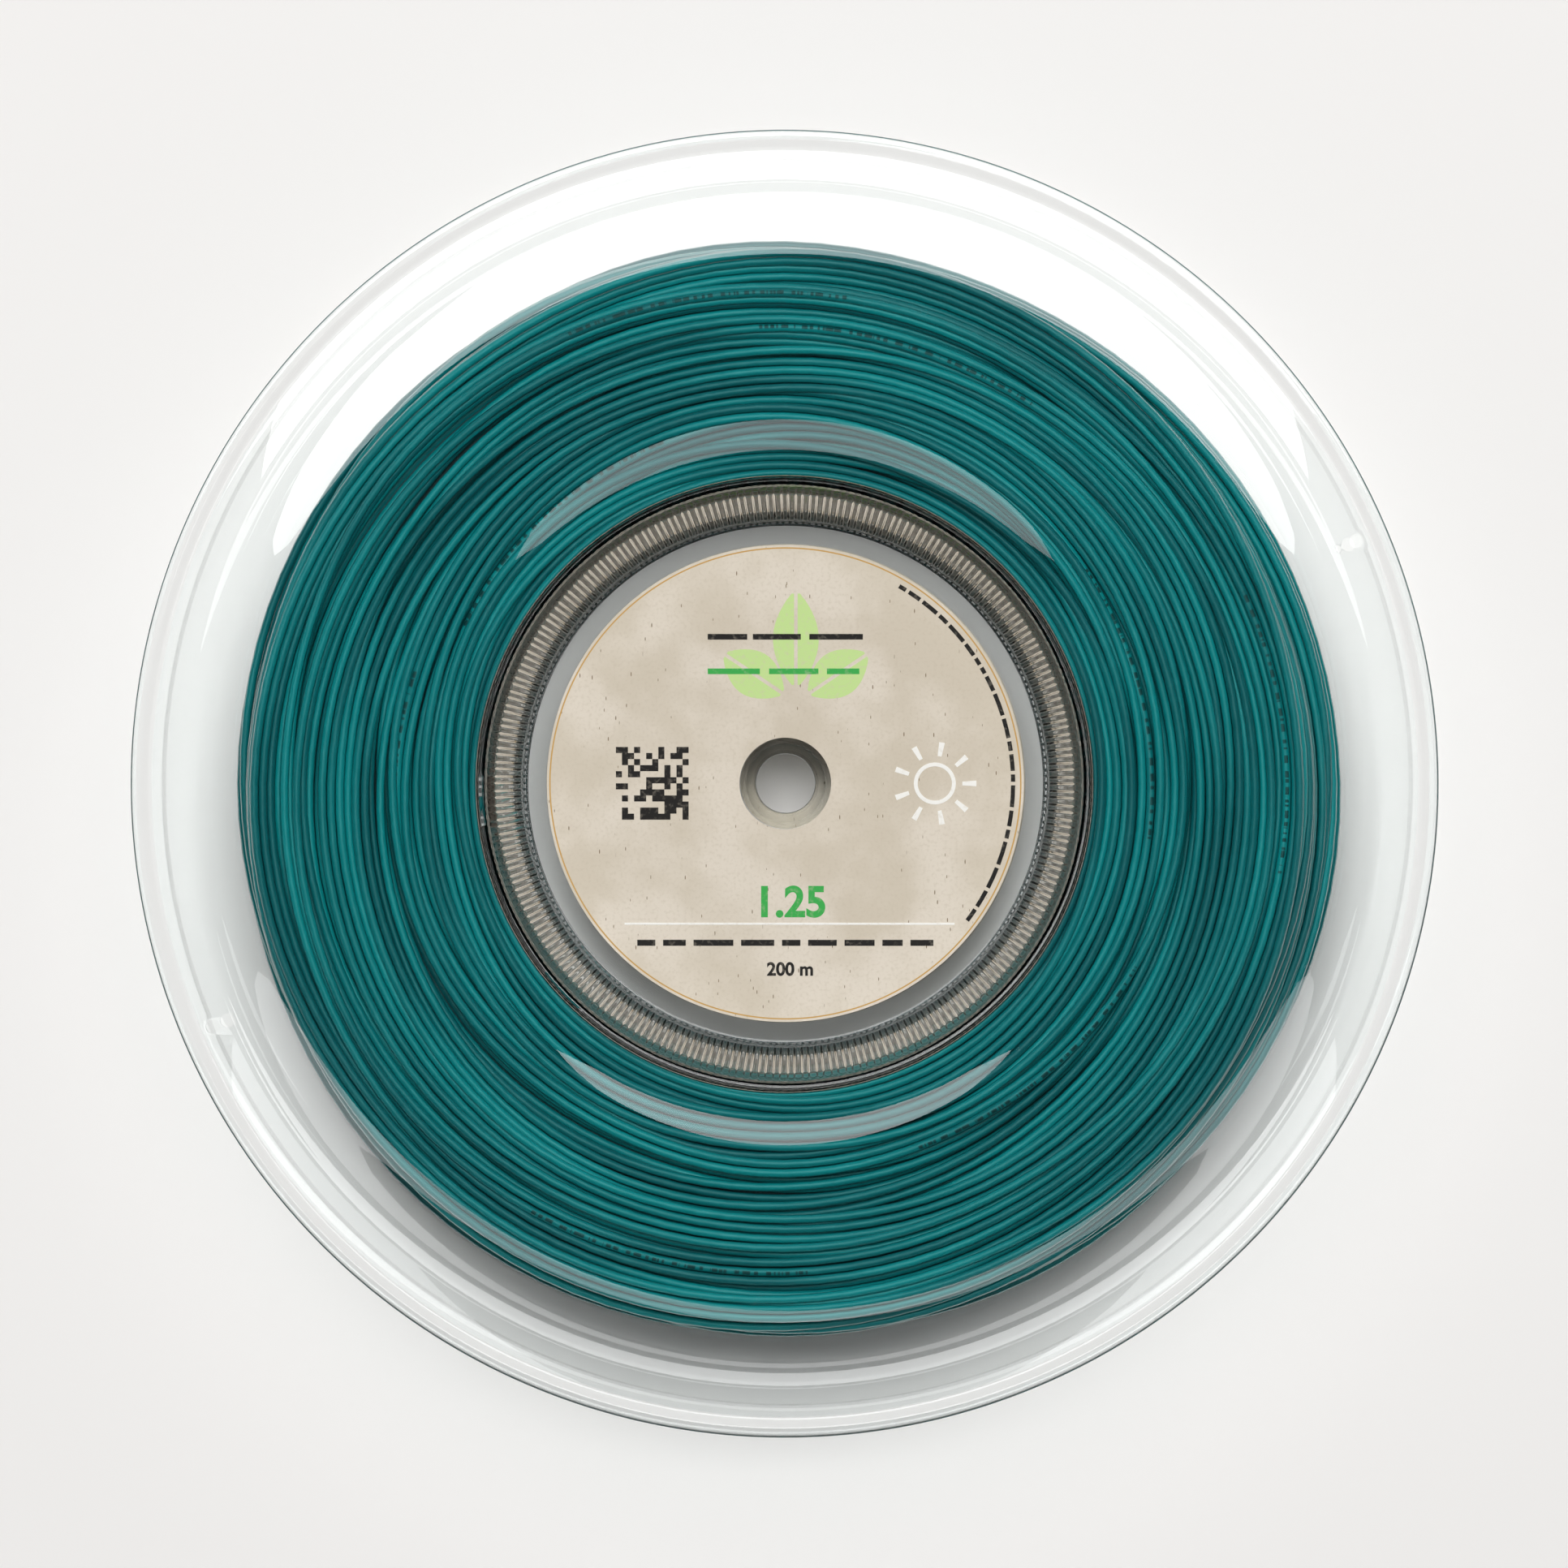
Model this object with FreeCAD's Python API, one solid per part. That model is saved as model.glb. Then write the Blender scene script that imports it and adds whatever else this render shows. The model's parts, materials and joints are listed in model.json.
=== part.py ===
"""Clear reel of racket string: two identical mouldings, their labels and the wound string.

The reel lies flat. Z is the spindle axis, z = 0 is the plane of the rear rim and +Z is the front.
Heights called h are measured from the weld plane between the halves, outward through one half.
"""
import FreeCAD, Part
import math
import os

from FreeCAD import Vector

os.makedirs("parts", exist_ok=True)

# ---- Driving dimensions, millimetres ----------------------------------------------------------
REEL_DIAMETER = 184.0
REEL_WIDTH = 34.0
SHEET = 1.3                 # wall of the moulding
DRUM_RADIUS = 43.1          # the straight sleeve that the string is wound on
BORE_RADIUS = 4.2           # runs on an 8 mm spindle
STRING_DIAMETER = 1.25

# Rim: a round bead, a sloping band inside it and a step down to the crowned flange
BEAD_WIDTH = 2.6
BEAD_RISE = 0.8             # the bead's crown above the band's outer edge
BEAD_FLAT = 0.4             # flat ring on the crown that the reel rests on
BAND_WIDTH = 4.7
BAND_FALL = 0.45            # the band slopes down this far towards the bead
STEP_WIDTH = 1.6
STEP_DROP = 0.45            # from the band's inner edge to the flange's outer edge
CROWN_RISE = 0.6            # from the flange's edges to its flat crown
CROWN_SLOPE_WIDTH = 9.0     # radial run of each slope of the crown
TUCK_HOLE_RADIUS = 1.0
TUCK_HOLE_INSET = 4.6       # centre of the hole, in from the reel's edge
TUCK_HOLE_ANGLE = 23.0
TUCK_HOLE_COUNT = 2

# Hub: conical cup with reeds on its wall, web, funnel and collar
SLEEVE_WALL = 1.0
SLEEVE_FOOT_ROUND = 1.6     # fillet between the sleeve and the flange, on the string's side
MOUTH_LAND = 0.9            # from the cup's mouth out to the drum's surface
MOUTH_ROUND = 0.5
MOUTH_BULGE_OUT = 0.2       # middle of the mouth's arc, as shares of MOUTH_ROUND: out from its
MOUTH_BULGE_DOWN = 0.3      # radius and down from its top
CUP_DRAFT_DEG = 23.0
WEB_STANDOFF = 2.5          # from the weld plane to the underside of the web
CAVITY_TOP_GAP = 0.4        # width of the space between cup and sleeve at its top
COLLAR_RADIUS = 7.0
COLLAR_STRAIGHT = 2.0       # straight length of the bore in one half
FUNNEL_FLARE = 2.2
REED_PAIRS = 125
REED_SHARE = 0.45           # the narrower reed's share of a pair
REED_HEIGHT = 0.35
REED_ROOT = 0.03            # skin left at the bottom of a groove
REED_END_GAP = 0.8          # plain wall left above the web and below the mouth
NOTCH_WIDTH = 7.0
NOTCH_HEIGHT = 3.0
NOTCH_FROM_HOLE_DEG = 160.2

# Label
LABEL_THICKNESS = 0.2
LABEL_MARGIN = 3.1          # from the label's edge to the foot of the cup wall
LABEL_HOLE_MARGIN = 0.1     # from the funnel's mouth to the label's hole

# String
RIM_FREE_HEIGHT = 13.4      # from the reel's edge down to the string on the open side
PACK_OFFSET = 1.4           # the string lies thicker towards -Y
PACK_ROUND = 2.0
PACK_CLEARANCE = 0.4        # between the string and each wall of the reel
END_START_IN = 0.4          # the inner end leaves the winding just inside the drum's surface
END_REACH_IN = 3.4          # and stops this far inside it
END_LEAD_DEG = 1.2          # it starts this far before the middle of the notch
END_SWEEP_DEG = 8.0
END_HEIGHT = 1.4            # of the inner end above the weld plane

# ---- Worked out ------------------------------------------------------------------------------
REEL_RADIUS = REEL_DIAMETER / 2
HALF_WIDTH = REEL_WIDTH / 2
BAND_H = HALF_WIDTH - BEAD_RISE
STEP_H = BAND_H + BAND_FALL
EDGE_H = STEP_H - STEP_DROP
CROWN_H = EDGE_H + CROWN_RISE
BAND_OUTER = REEL_RADIUS - BEAD_WIDTH
BAND_INNER = BAND_OUTER - BAND_WIDTH
STEP_INNER = BAND_INNER - STEP_WIDTH
WEB_H = WEB_STANDOFF + SHEET
MOUTH_RADIUS = DRUM_RADIUS - MOUTH_LAND
CUP_TAN = math.tan(math.radians(CUP_DRAFT_DEG))
CUP_SIDE = SHEET / math.cos(math.radians(CUP_DRAFT_DEG))
FUNNEL_RADIUS = BORE_RADIUS + FUNNEL_FLARE
OVERCUT = 0.2               # how far a cutting body reaches past what it cuts


def cup_radius(h):
    """Radius of the cup's plain wall at height h."""
    return MOUTH_RADIUS - (EDGE_H - h) * CUP_TAN


CUP_FOOT_RADIUS = cup_radius(WEB_H)
LABEL_RADIUS = CUP_FOOT_RADIUS - LABEL_MARGIN
LABEL_HOLE_RADIUS = FUNNEL_RADIUS + LABEL_HOLE_MARGIN
REED_CUT_GAP = REED_END_GAP / 2     # the reed cutter starts and stops halfway into the plain ends
PACK_RADIUS = REEL_RADIUS - RIM_FREE_HEIGHT - PACK_OFFSET
PACK_HALF_WIDTH = EDGE_H - SHEET - PACK_CLEARANCE


def at(radius, h):
    """Point of a section in the XZ plane."""
    return Vector(radius, 0, h)


def on_plan(radius, angle_deg, h):
    """Point at a radius and an angle about the spindle axis."""
    angle = math.radians(angle_deg)
    return Vector(radius * math.cos(angle), radius * math.sin(angle), h)


def line_through(points):
    """Straight edges from each point to the next."""
    return [Part.makeLine(a, b) for a, b in zip(points, points[1:])]


def arc(start, middle, end):
    """Arc through three points."""
    return Part.Arc(start, middle, end).toShape()


def revolved(edges):
    """Solid of revolution about Z of a closed section in the XZ plane."""
    face = Part.Face(Part.Wire(Part.__sortEdges__(edges)))
    return face.revolve(Vector(0, 0, 0), Vector(0, 0, 1), 360)


def crown_curve(lift):
    """Flange from the step in to the hub's land: S-bend up, flat crown, S-bend down."""
    outer = STEP_INNER
    inner = DRUM_RADIUS + SLEEVE_FOOT_ROUND
    crown_outer = outer - CROWN_SLOPE_WIDTH
    crown_inner = inner + CROWN_SLOPE_WIDTH
    low = EDGE_H + lift
    high = CROWN_H + lift
    third = CROWN_SLOPE_WIDTH / 3
    edges = []
    for edge, crown, sign in ((outer, crown_outer, 1), (inner, crown_inner, -1)):
        bend = Part.BezierCurve()
        poles = [at(edge, low), at(edge - sign * third, low)]
        bend.setPoles(poles + [at(crown + sign * third, high), at(crown, high)])
        edges.append(bend.toShape())
    edges.append(Part.makeLine(at(crown_outer, high), at(crown_inner, high)))
    return edges


def rim_bead():
    """Round bead on the reel's edge, from the band's outside face round to its inside face."""
    rounding = (BEAD_WIDTH - BEAD_FLAT) / 2
    crown_inner = at(BAND_OUTER + rounding, HALF_WIDTH)
    crown_outer = at(REEL_RADIUS - rounding, HALF_WIDTH)
    slant = (1 - math.sqrt(0.5)) * rounding
    arc_middle = at(REEL_RADIUS - slant, HALF_WIDTH - slant)
    arc_end = at(REEL_RADIUS, HALF_WIDTH - rounding)
    edges = line_through([at(BAND_OUTER, BAND_H), crown_inner, crown_outer])
    edges.append(arc(crown_outer, arc_middle, arc_end))
    edges.append(Part.makeLine(arc_end, at(REEL_RADIUS, BAND_H - SHEET)))
    return edges


def half_section():
    """Closed section of one half, without reeds, notch and holes."""
    reed_low = WEB_H + REED_END_GAP
    reed_high = EDGE_H - MOUTH_ROUND - REED_END_GAP
    thick = REED_HEIGHT + REED_ROOT + OVERCUT
    mouth_foot = at(cup_radius(EDGE_H - MOUTH_ROUND), EDGE_H - MOUTH_ROUND)
    mouth_top = at(MOUTH_RADIUS + MOUTH_ROUND, EDGE_H)
    mouth_mid = at(MOUTH_RADIUS + MOUTH_BULGE_OUT * MOUTH_ROUND, EDGE_H - MOUTH_BULGE_DOWN * MOUTH_ROUND)
    hub_front = [
        at(BORE_RADIUS, 0),
        at(BORE_RADIUS, COLLAR_STRAIGHT),
        at(FUNNEL_RADIUS, WEB_H),
        at(CUP_FOOT_RADIUS, WEB_H),
        at(cup_radius(reed_low), reed_low),
        at(cup_radius(reed_low) - thick, reed_low),
        at(cup_radius(reed_high) - thick, reed_high),
        at(cup_radius(reed_high), reed_high),
        mouth_foot,
    ]
    land = [mouth_top, at(DRUM_RADIUS + SLEEVE_FOOT_ROUND, EDGE_H)]
    step = [at(STEP_INNER, EDGE_H), at(BAND_INNER, STEP_H), at(BAND_OUTER, BAND_H)]
    sleeve_inner = DRUM_RADIUS - SLEEVE_WALL
    cavity_width = sleeve_inner - CAVITY_TOP_GAP - MOUTH_RADIUS - CUP_SIDE
    cavity_top = EDGE_H + cavity_width / CUP_TAN
    foot_h = EDGE_H - SHEET
    foot_slant = (1 - math.sqrt(0.5)) * SLEEVE_FOOT_ROUND
    foot_start = at(DRUM_RADIUS + SLEEVE_FOOT_ROUND, foot_h)
    foot_middle = at(DRUM_RADIUS + foot_slant, foot_h - foot_slant)
    foot_end = at(DRUM_RADIUS, foot_h - SLEEVE_FOOT_ROUND)
    back = [
        at(REEL_RADIUS, BAND_H - SHEET),
        at(BAND_OUTER, BAND_H - SHEET),
        at(BAND_INNER, STEP_H - SHEET),
        at(STEP_INNER, EDGE_H - SHEET),
    ]
    hub_back = [
        foot_end,
        at(DRUM_RADIUS, 0),
        at(sleeve_inner, 0),
        at(sleeve_inner, cavity_top),
        at(cup_radius(cavity_top) + CUP_SIDE, cavity_top),
        at(cup_radius(WEB_STANDOFF) + CUP_SIDE, WEB_STANDOFF),
        at(COLLAR_RADIUS, WEB_STANDOFF),
        at(COLLAR_RADIUS, 0),
        at(BORE_RADIUS, 0),
    ]
    edges = line_through(hub_front) + [arc(mouth_foot, mouth_mid, mouth_top)]
    edges += line_through(land) + crown_curve(0) + line_through(step) + rim_bead()
    edges += line_through(back) + crown_curve(-SHEET) + [arc(foot_start, foot_middle, foot_end)]
    return edges + line_through(hub_back)


def star(h):
    """Closed zigzag at height h: groove, crest, groove, crest around the cup wall."""
    groove = cup_radius(h) - REED_ROOT
    crest = groove - REED_HEIGHT
    pitch = 360.0 / REED_PAIRS
    points = []
    for pair in range(REED_PAIRS):
        start = pair * pitch
        points.append(on_plan(groove, start, h))
        points.append(on_plan(crest, start + REED_SHARE / 2 * pitch, h))
        points.append(on_plan(groove, start + REED_SHARE * pitch, h))
        points.append(on_plan(crest, start + (1 + REED_SHARE) / 2 * pitch, h))
    return Part.makePolygon(points + points[:1])


def reed_cutter():
    """Tapered zigzag body that leaves the reeds standing on the cup wall."""
    low = WEB_H + REED_CUT_GAP
    high = EDGE_H - MOUTH_ROUND - REED_CUT_GAP
    return Part.makeLoft([star(low), star(high)], True, True)


def tuck_holes():
    """Round holes through the rim's band, spaced evenly about the axis."""
    centre = REEL_RADIUS - TUCK_HOLE_INSET
    low = BAND_H - SHEET - OVERCUT
    high = STEP_H + OVERCUT
    holes = []
    for index in range(TUCK_HOLE_COUNT):
        spot = on_plan(centre, TUCK_HOLE_ANGLE + index * 360.0 / TUCK_HOLE_COUNT, low)
        holes.append(Part.makeCylinder(TUCK_HOLE_RADIUS, high - low, spot))
    return holes


def sleeve_notch():
    """Notch in the sleeve's free edge that lets the string's inner end through."""
    length = SLEEVE_WALL + 2 * OVERCUT
    corner = Vector(DRUM_RADIUS - SLEEVE_WALL - OVERCUT, -NOTCH_WIDTH / 2, -OVERCUT)
    notch = Part.makeBox(length, NOTCH_WIDTH, NOTCH_HEIGHT + OVERCUT, corner)
    notch.rotate(Vector(0, 0, 0), Vector(0, 0, 1), TUCK_HOLE_ANGLE + NOTCH_FROM_HOLE_DEG)
    return notch


def moulded_half():
    """One half with its weld plane at h = 0 and its outside facing up."""
    body = revolved(half_section())
    return body.cut([reed_cutter(), sleeve_notch()] + tuck_holes())


def label():
    """Paper ring on the web, in the frame of one half."""
    disc = Part.makeCylinder(LABEL_RADIUS, LABEL_THICKNESS, Vector(0, 0, WEB_H))
    hole = Part.makeCylinder(LABEL_HOLE_RADIUS, LABEL_THICKNESS + 2 * OVERCUT, Vector(0, 0, WEB_H - OVERCUT))
    return disc.cut(hole)


def wound_string():
    """The whole winding as one ring, thicker on the -Y side, with rounded outer edges."""
    centre = Vector(0, -PACK_OFFSET, -PACK_HALF_WIDTH)
    pack = Part.makeCylinder(PACK_RADIUS, 2 * PACK_HALF_WIDTH, centre)
    hole = Part.makeCylinder(DRUM_RADIUS + PACK_CLEARANCE, REEL_WIDTH, Vector(0, 0, -HALF_WIDTH))
    ring = pack.cut(hole)
    return ring.makeFillet(PACK_ROUND, [edge for edge in ring.Edges if len(edge.Vertexes) == 1])


def inner_end():
    """Cut end of the string that passes through the notch and stops inside the sleeve."""
    angle = TUCK_HOLE_ANGLE + NOTCH_FROM_HOLE_DEG - END_LEAD_DEG
    start = on_plan(DRUM_RADIUS - END_START_IN, angle, END_HEIGHT)
    stop = on_plan(DRUM_RADIUS - END_REACH_IN, angle + END_SWEEP_DEG, END_HEIGHT)
    run = stop - start
    return Part.makeCylinder(STRING_DIAMETER / 2, run.Length, start, run)


def to_front(shape):
    """Lift a shape from the weld plane to the front half's place."""
    placed = shape.copy()
    placed.translate(Vector(0, 0, HALF_WIDTH))
    return placed


def to_rear(shape):
    """Turn a shape over about the line through the tuck holes, so that both halves' holes meet."""
    placed = shape.copy()
    placed.rotate(Vector(0, 0, 0), on_plan(1, TUCK_HOLE_ANGLE, 0), 180)
    return to_front(placed)


def build():
    """Every node of the reel, by name."""
    half = moulded_half()
    ring = label()
    return {
        "front_half": to_front(half),
        "rear_half": to_rear(half),
        "front_label": to_front(ring),
        "rear_label": to_rear(ring),
        "string_winding": to_front(wound_string()),
        "string_inner_end": to_front(inner_end()),
    }


for node, shape in build().items():
    shape.exportStep(f"parts/{node}.step")
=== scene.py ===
import json
import math

import bpy
import numpy as np
from mathutils import Matrix, Vector


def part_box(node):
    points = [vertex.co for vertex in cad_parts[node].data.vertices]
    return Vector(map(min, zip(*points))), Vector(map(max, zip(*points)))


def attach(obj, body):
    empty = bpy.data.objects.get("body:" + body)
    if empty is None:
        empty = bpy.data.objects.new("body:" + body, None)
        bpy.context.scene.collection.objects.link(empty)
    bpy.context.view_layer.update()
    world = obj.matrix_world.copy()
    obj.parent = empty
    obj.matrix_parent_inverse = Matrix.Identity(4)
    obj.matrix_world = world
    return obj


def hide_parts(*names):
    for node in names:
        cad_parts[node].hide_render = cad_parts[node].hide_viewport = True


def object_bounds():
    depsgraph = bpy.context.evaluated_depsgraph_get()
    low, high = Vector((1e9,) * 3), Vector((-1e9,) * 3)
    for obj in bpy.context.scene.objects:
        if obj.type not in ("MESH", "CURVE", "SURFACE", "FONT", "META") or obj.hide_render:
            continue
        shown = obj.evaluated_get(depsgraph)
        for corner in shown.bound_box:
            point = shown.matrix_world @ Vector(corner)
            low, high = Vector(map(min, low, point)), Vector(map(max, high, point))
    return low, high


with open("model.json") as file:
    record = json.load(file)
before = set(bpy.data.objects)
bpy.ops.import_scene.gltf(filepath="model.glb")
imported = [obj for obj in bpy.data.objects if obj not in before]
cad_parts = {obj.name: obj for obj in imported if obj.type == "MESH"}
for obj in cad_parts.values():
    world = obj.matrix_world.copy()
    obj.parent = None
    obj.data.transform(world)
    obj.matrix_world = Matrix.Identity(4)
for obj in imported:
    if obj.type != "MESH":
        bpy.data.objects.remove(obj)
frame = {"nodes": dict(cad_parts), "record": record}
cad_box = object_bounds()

MM = 0.001
CAMERA_DISTANCE = 1.5
CAMERA_LENS = 245                 # millimetres, for a sensor 36 mm wide
CAMERA_OFF_AXIS = (0.021, 0.009)

# ---- Sizes read from the frame -----------------------------------------------------------------
REEL_LOW, REEL_HIGH = [np.array(corner) for corner in cad_box]
MIDDLE = (REEL_LOW[2] + REEL_HIGH[2]) / 2
HALF_WIDTH = REEL_HIGH[2] - MIDDLE
REEL_RADIUS = REEL_HIGH[0]
LABEL_LOW, LABEL_HIGH = [np.array(corner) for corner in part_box("front_label")]
LABEL_RADIUS = LABEL_HIGH[0]
WEB_H = LABEL_LOW[2] - MIDDLE
LABEL_TOP_H = LABEL_HIGH[2] - MIDDLE
INK_HEIGHT = 0.012 * MM
MOUNTS = {mount["name"]: mount for mount in frame["record"]["mounts"]}
BORE_RADIUS = MOUNTS["spindle_bore"]["dims"]["r_mm"] * MM
COLLAR_STRAIGHT = MOUNTS["spindle_bore"]["dims"]["length_mm"] * MM / 2

# ---- Sizes of the moulding ---------------------------------------------------------------------
SHEET = 1.3 * MM
DRUM_RADIUS = 43.1 * MM
SLEEVE_WALL = 1.0 * MM
SLEEVE_FOOT_ROUND = 1.6 * MM
BEAD_WIDTH = 2.6 * MM
BEAD_RISE = 0.8 * MM
BEAD_FLAT = 0.4 * MM
BAND_WIDTH = 4.7 * MM
BAND_FALL = 0.45 * MM
STEP_WIDTH = 1.6 * MM
STEP_DROP = 0.45 * MM
CROWN_RISE = 0.6 * MM
CROWN_SLOPE_WIDTH = 9.0 * MM
MOUTH_LAND = 0.9 * MM
MOUTH_ROUND = 0.5 * MM
CUP_DRAFT = math.radians(23.0)
CUP_TAN = math.tan(CUP_DRAFT)
CUP_SIDE = SHEET * math.hypot(1.0, CUP_TAN)
WEB_STANDOFF = 2.5 * MM
CAVITY_TOP_GAP = 0.4 * MM
COLLAR_RADIUS = 7.0 * MM
FUNNEL_FLARE = 2.2 * MM
FUNNEL_RADIUS = BORE_RADIUS + FUNNEL_FLARE
REED_PAIRS = 125
REED_SHARE = 0.45
REED_HEIGHT = 0.35 * MM
REED_END_GAP = 0.8 * MM
WELD_GAP = 0.01 * MM              # keeps the two halves' faces from lying in one plane
TUCK_HOLE_RADIUS = 1.0 * MM
TUCK_HOLE_INSET = 4.6 * MM
TUCK_HOLE_ANGLE = math.radians(23.0)
TUCK_HOLE_SIDES = 28
NOTCH_WIDTH = 7.0 * MM
NOTCH_HEIGHT = 3.0 * MM
NOTCH_FROM_HOLE = math.radians(160.2)
NOTCH_ANGLE = TUCK_HOLE_ANGLE + NOTCH_FROM_HOLE
OVERCUT = 0.2 * MM
SHARP_ANGLE = math.radians(50)    # edges bent more than this are sharp: reed grooves, cut holes

BAND_H = HALF_WIDTH - BEAD_RISE
STEP_H = BAND_H + BAND_FALL
EDGE_H = STEP_H - STEP_DROP
CROWN_H = EDGE_H + CROWN_RISE
BAND_OUTER = REEL_RADIUS - BEAD_WIDTH
BAND_INNER = BAND_OUTER - BAND_WIDTH
STEP_INNER = BAND_INNER - STEP_WIDTH
CROWN_OUTER = STEP_INNER - CROWN_SLOPE_WIDTH
LAND_OUTER = DRUM_RADIUS + SLEEVE_FOOT_ROUND
CROWN_INNER = LAND_OUTER + CROWN_SLOPE_WIDTH
MOUTH_RADIUS = DRUM_RADIUS - MOUTH_LAND

# ---- Sizes of the string -----------------------------------------------------------------------
STRING_DIAMETER = 1.25 * MM
TURNS = 528
STEPS_PER_TURN = 96
STRING_SIDES = 8
GUIDE_PITCH = 1.95 * MM
TURNING_SHORTFALL = 0.40 * MM     # how far short of the flange the guide turns, on average
SLIDE_REACH = 1.1 * MM            # how far a turn slides sideways to find a hollow
SLIDE_EFFORT = 250.0              # rise in metres that a sideways metre squared is worth
SHOULDER = 0.55                   # share of a diameter within which two turns press on each other
TIGHT_SLOPE = 0.15 * MM           # most that a tight turn climbs or falls in one step
WANDER_SLOW = 0.40 * MM           # drift of the string across the drum within a turn
WANDER_QUICK = 0.10 * MM
LOOSENESS = 0.13 * MM
LOOSE_SIDE = math.radians(265)
WALL_CLEARANCE = 0.03 * MM
TUCK_STEPS = 14                   # the outer end dives under its neighbours over these last steps
TUCK_DEPTH = 1.6 * MM
OUTER_TURNS = 60                  # last turns, whose largest radius is the outside of the winding
SEEN_FROM_FACE = 3.9              # strands deep that turns are drawn: from the flange,
SEEN_FROM_OUTSIDE = 3.2           # from the outside,
SEEN_FROM_DRUM = 0.9              # and from the drum
CORE_DEPTH = 3.3                  # strands between the flange and the buried turns
CORE_COVER = 3.0                  # strands lying outside the buried turns
TAIL_SIDES = 12
TAIL_STEPS = 24


def linear(hex_colour):
    """sRGB hex to linear RGBA."""
    channels = [int(hex_colour[i:i + 2], 16) / 255 for i in (1, 3, 5)]
    return [c / 12.92 if c <= 0.04045 else ((c + 0.055) / 1.055) ** 2.4 for c in channels] + [1.0]


def add_node(tree, kind, settings=None, **inputs):
    """Adds a node with its settings, and sets or links its inputs by name."""
    node = tree.nodes.new(kind)
    for name, value in (settings or {}).items():
        setattr(node, name, value)
    for name, value in inputs.items():
        socket = node.inputs[int(name[1:])] if name[0] == "_" else node.inputs[name.replace("_", " ")]
        if isinstance(value, bpy.types.NodeSocket):
            tree.links.new(value, socket)
        else:
            socket.default_value = value
    return node


def new_material(name):
    """An empty node material and its output node."""
    material = bpy.data.materials.new(name)
    material.use_nodes = True
    material.node_tree.nodes.clear()
    return material, material.node_tree, add_node(material.node_tree, "ShaderNodeOutputMaterial")


def place(name, verts, faces, material, smooth=True):
    """Puts a finished mesh on the reel's one body."""
    mesh = bpy.data.meshes.new(name)
    mesh.from_pydata(verts, [], faces)
    mesh.polygons.foreach_set("use_smooth", np.full(len(mesh.polygons), smooth))
    mesh.validate()
    mesh.update()
    mesh.materials.append(material)
    piece = bpy.data.objects.new(name, mesh)
    bpy.context.scene.collection.objects.link(piece)
    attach(piece, "root")
    return piece


# ---- Moulded halves ----------------------------------------------------------------------------
def rounded(corners, fillet_steps=4):
    """Closed outline through (r, h, fillet radius) corners, with each corner turned into an arc.

    The arc is the quadratic Bezier curve whose middle control point is the corner.
    """
    corners = np.array(corners)
    points = corners[:, :2]
    before = np.roll(points, 1, 0) - points
    after = np.roll(points, -1, 0) - points
    length_before = np.linalg.norm(before, axis=1)
    length_after = np.linalg.norm(after, axis=1)
    outline = []
    for i, (point, fillet) in enumerate(zip(points, corners[:, 2])):
        if fillet == 0:
            outline.append(point)
            continue
        cut_before = min(fillet, 0.45 * length_before[i])
        cut_after = min(fillet, 0.45 * length_after[i])
        start = point + before[i] / length_before[i] * cut_before
        end = point + after[i] / length_after[i] * cut_after
        t = np.linspace(0, 1, fillet_steps + 1)[:, None]
        outline.extend((1 - t) ** 2 * start + 2 * t * (1 - t) * point + t ** 2 * end)
    return np.array(outline)


def flange_rise(radius):
    """How far the flange stands above its edges: half a cosine wave up to the crown on either side."""
    inside = (radius - LAND_OUTER) / CROWN_SLOPE_WIDTH
    outside = (STEP_INNER - radius) / CROWN_SLOPE_WIDTH
    t = np.minimum(inside, outside).clip(0, 1)
    return CROWN_RISE * (0.5 - 0.5 * np.cos(np.pi * t))


def flange_face(lift):
    """(r, h, fillet) corners of one face of the flange, from the hub's land out to the step."""
    slope_in = np.linspace(LAND_OUTER, CROWN_INNER, 9)
    slope_out = np.linspace(CROWN_OUTER, STEP_INNER, 9)
    crown = np.linspace(CROWN_INNER, CROWN_OUTER, 6)[1:-1]
    radius = np.concatenate([slope_in, crown, slope_out])
    return [(r, EDGE_H + lift + flange_rise(r), 0) for r in radius]


def cup_radius(h):
    """Radius of the cup's plain wall at height h."""
    return MOUTH_RADIUS - (EDGE_H - h) * CUP_TAN


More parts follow.
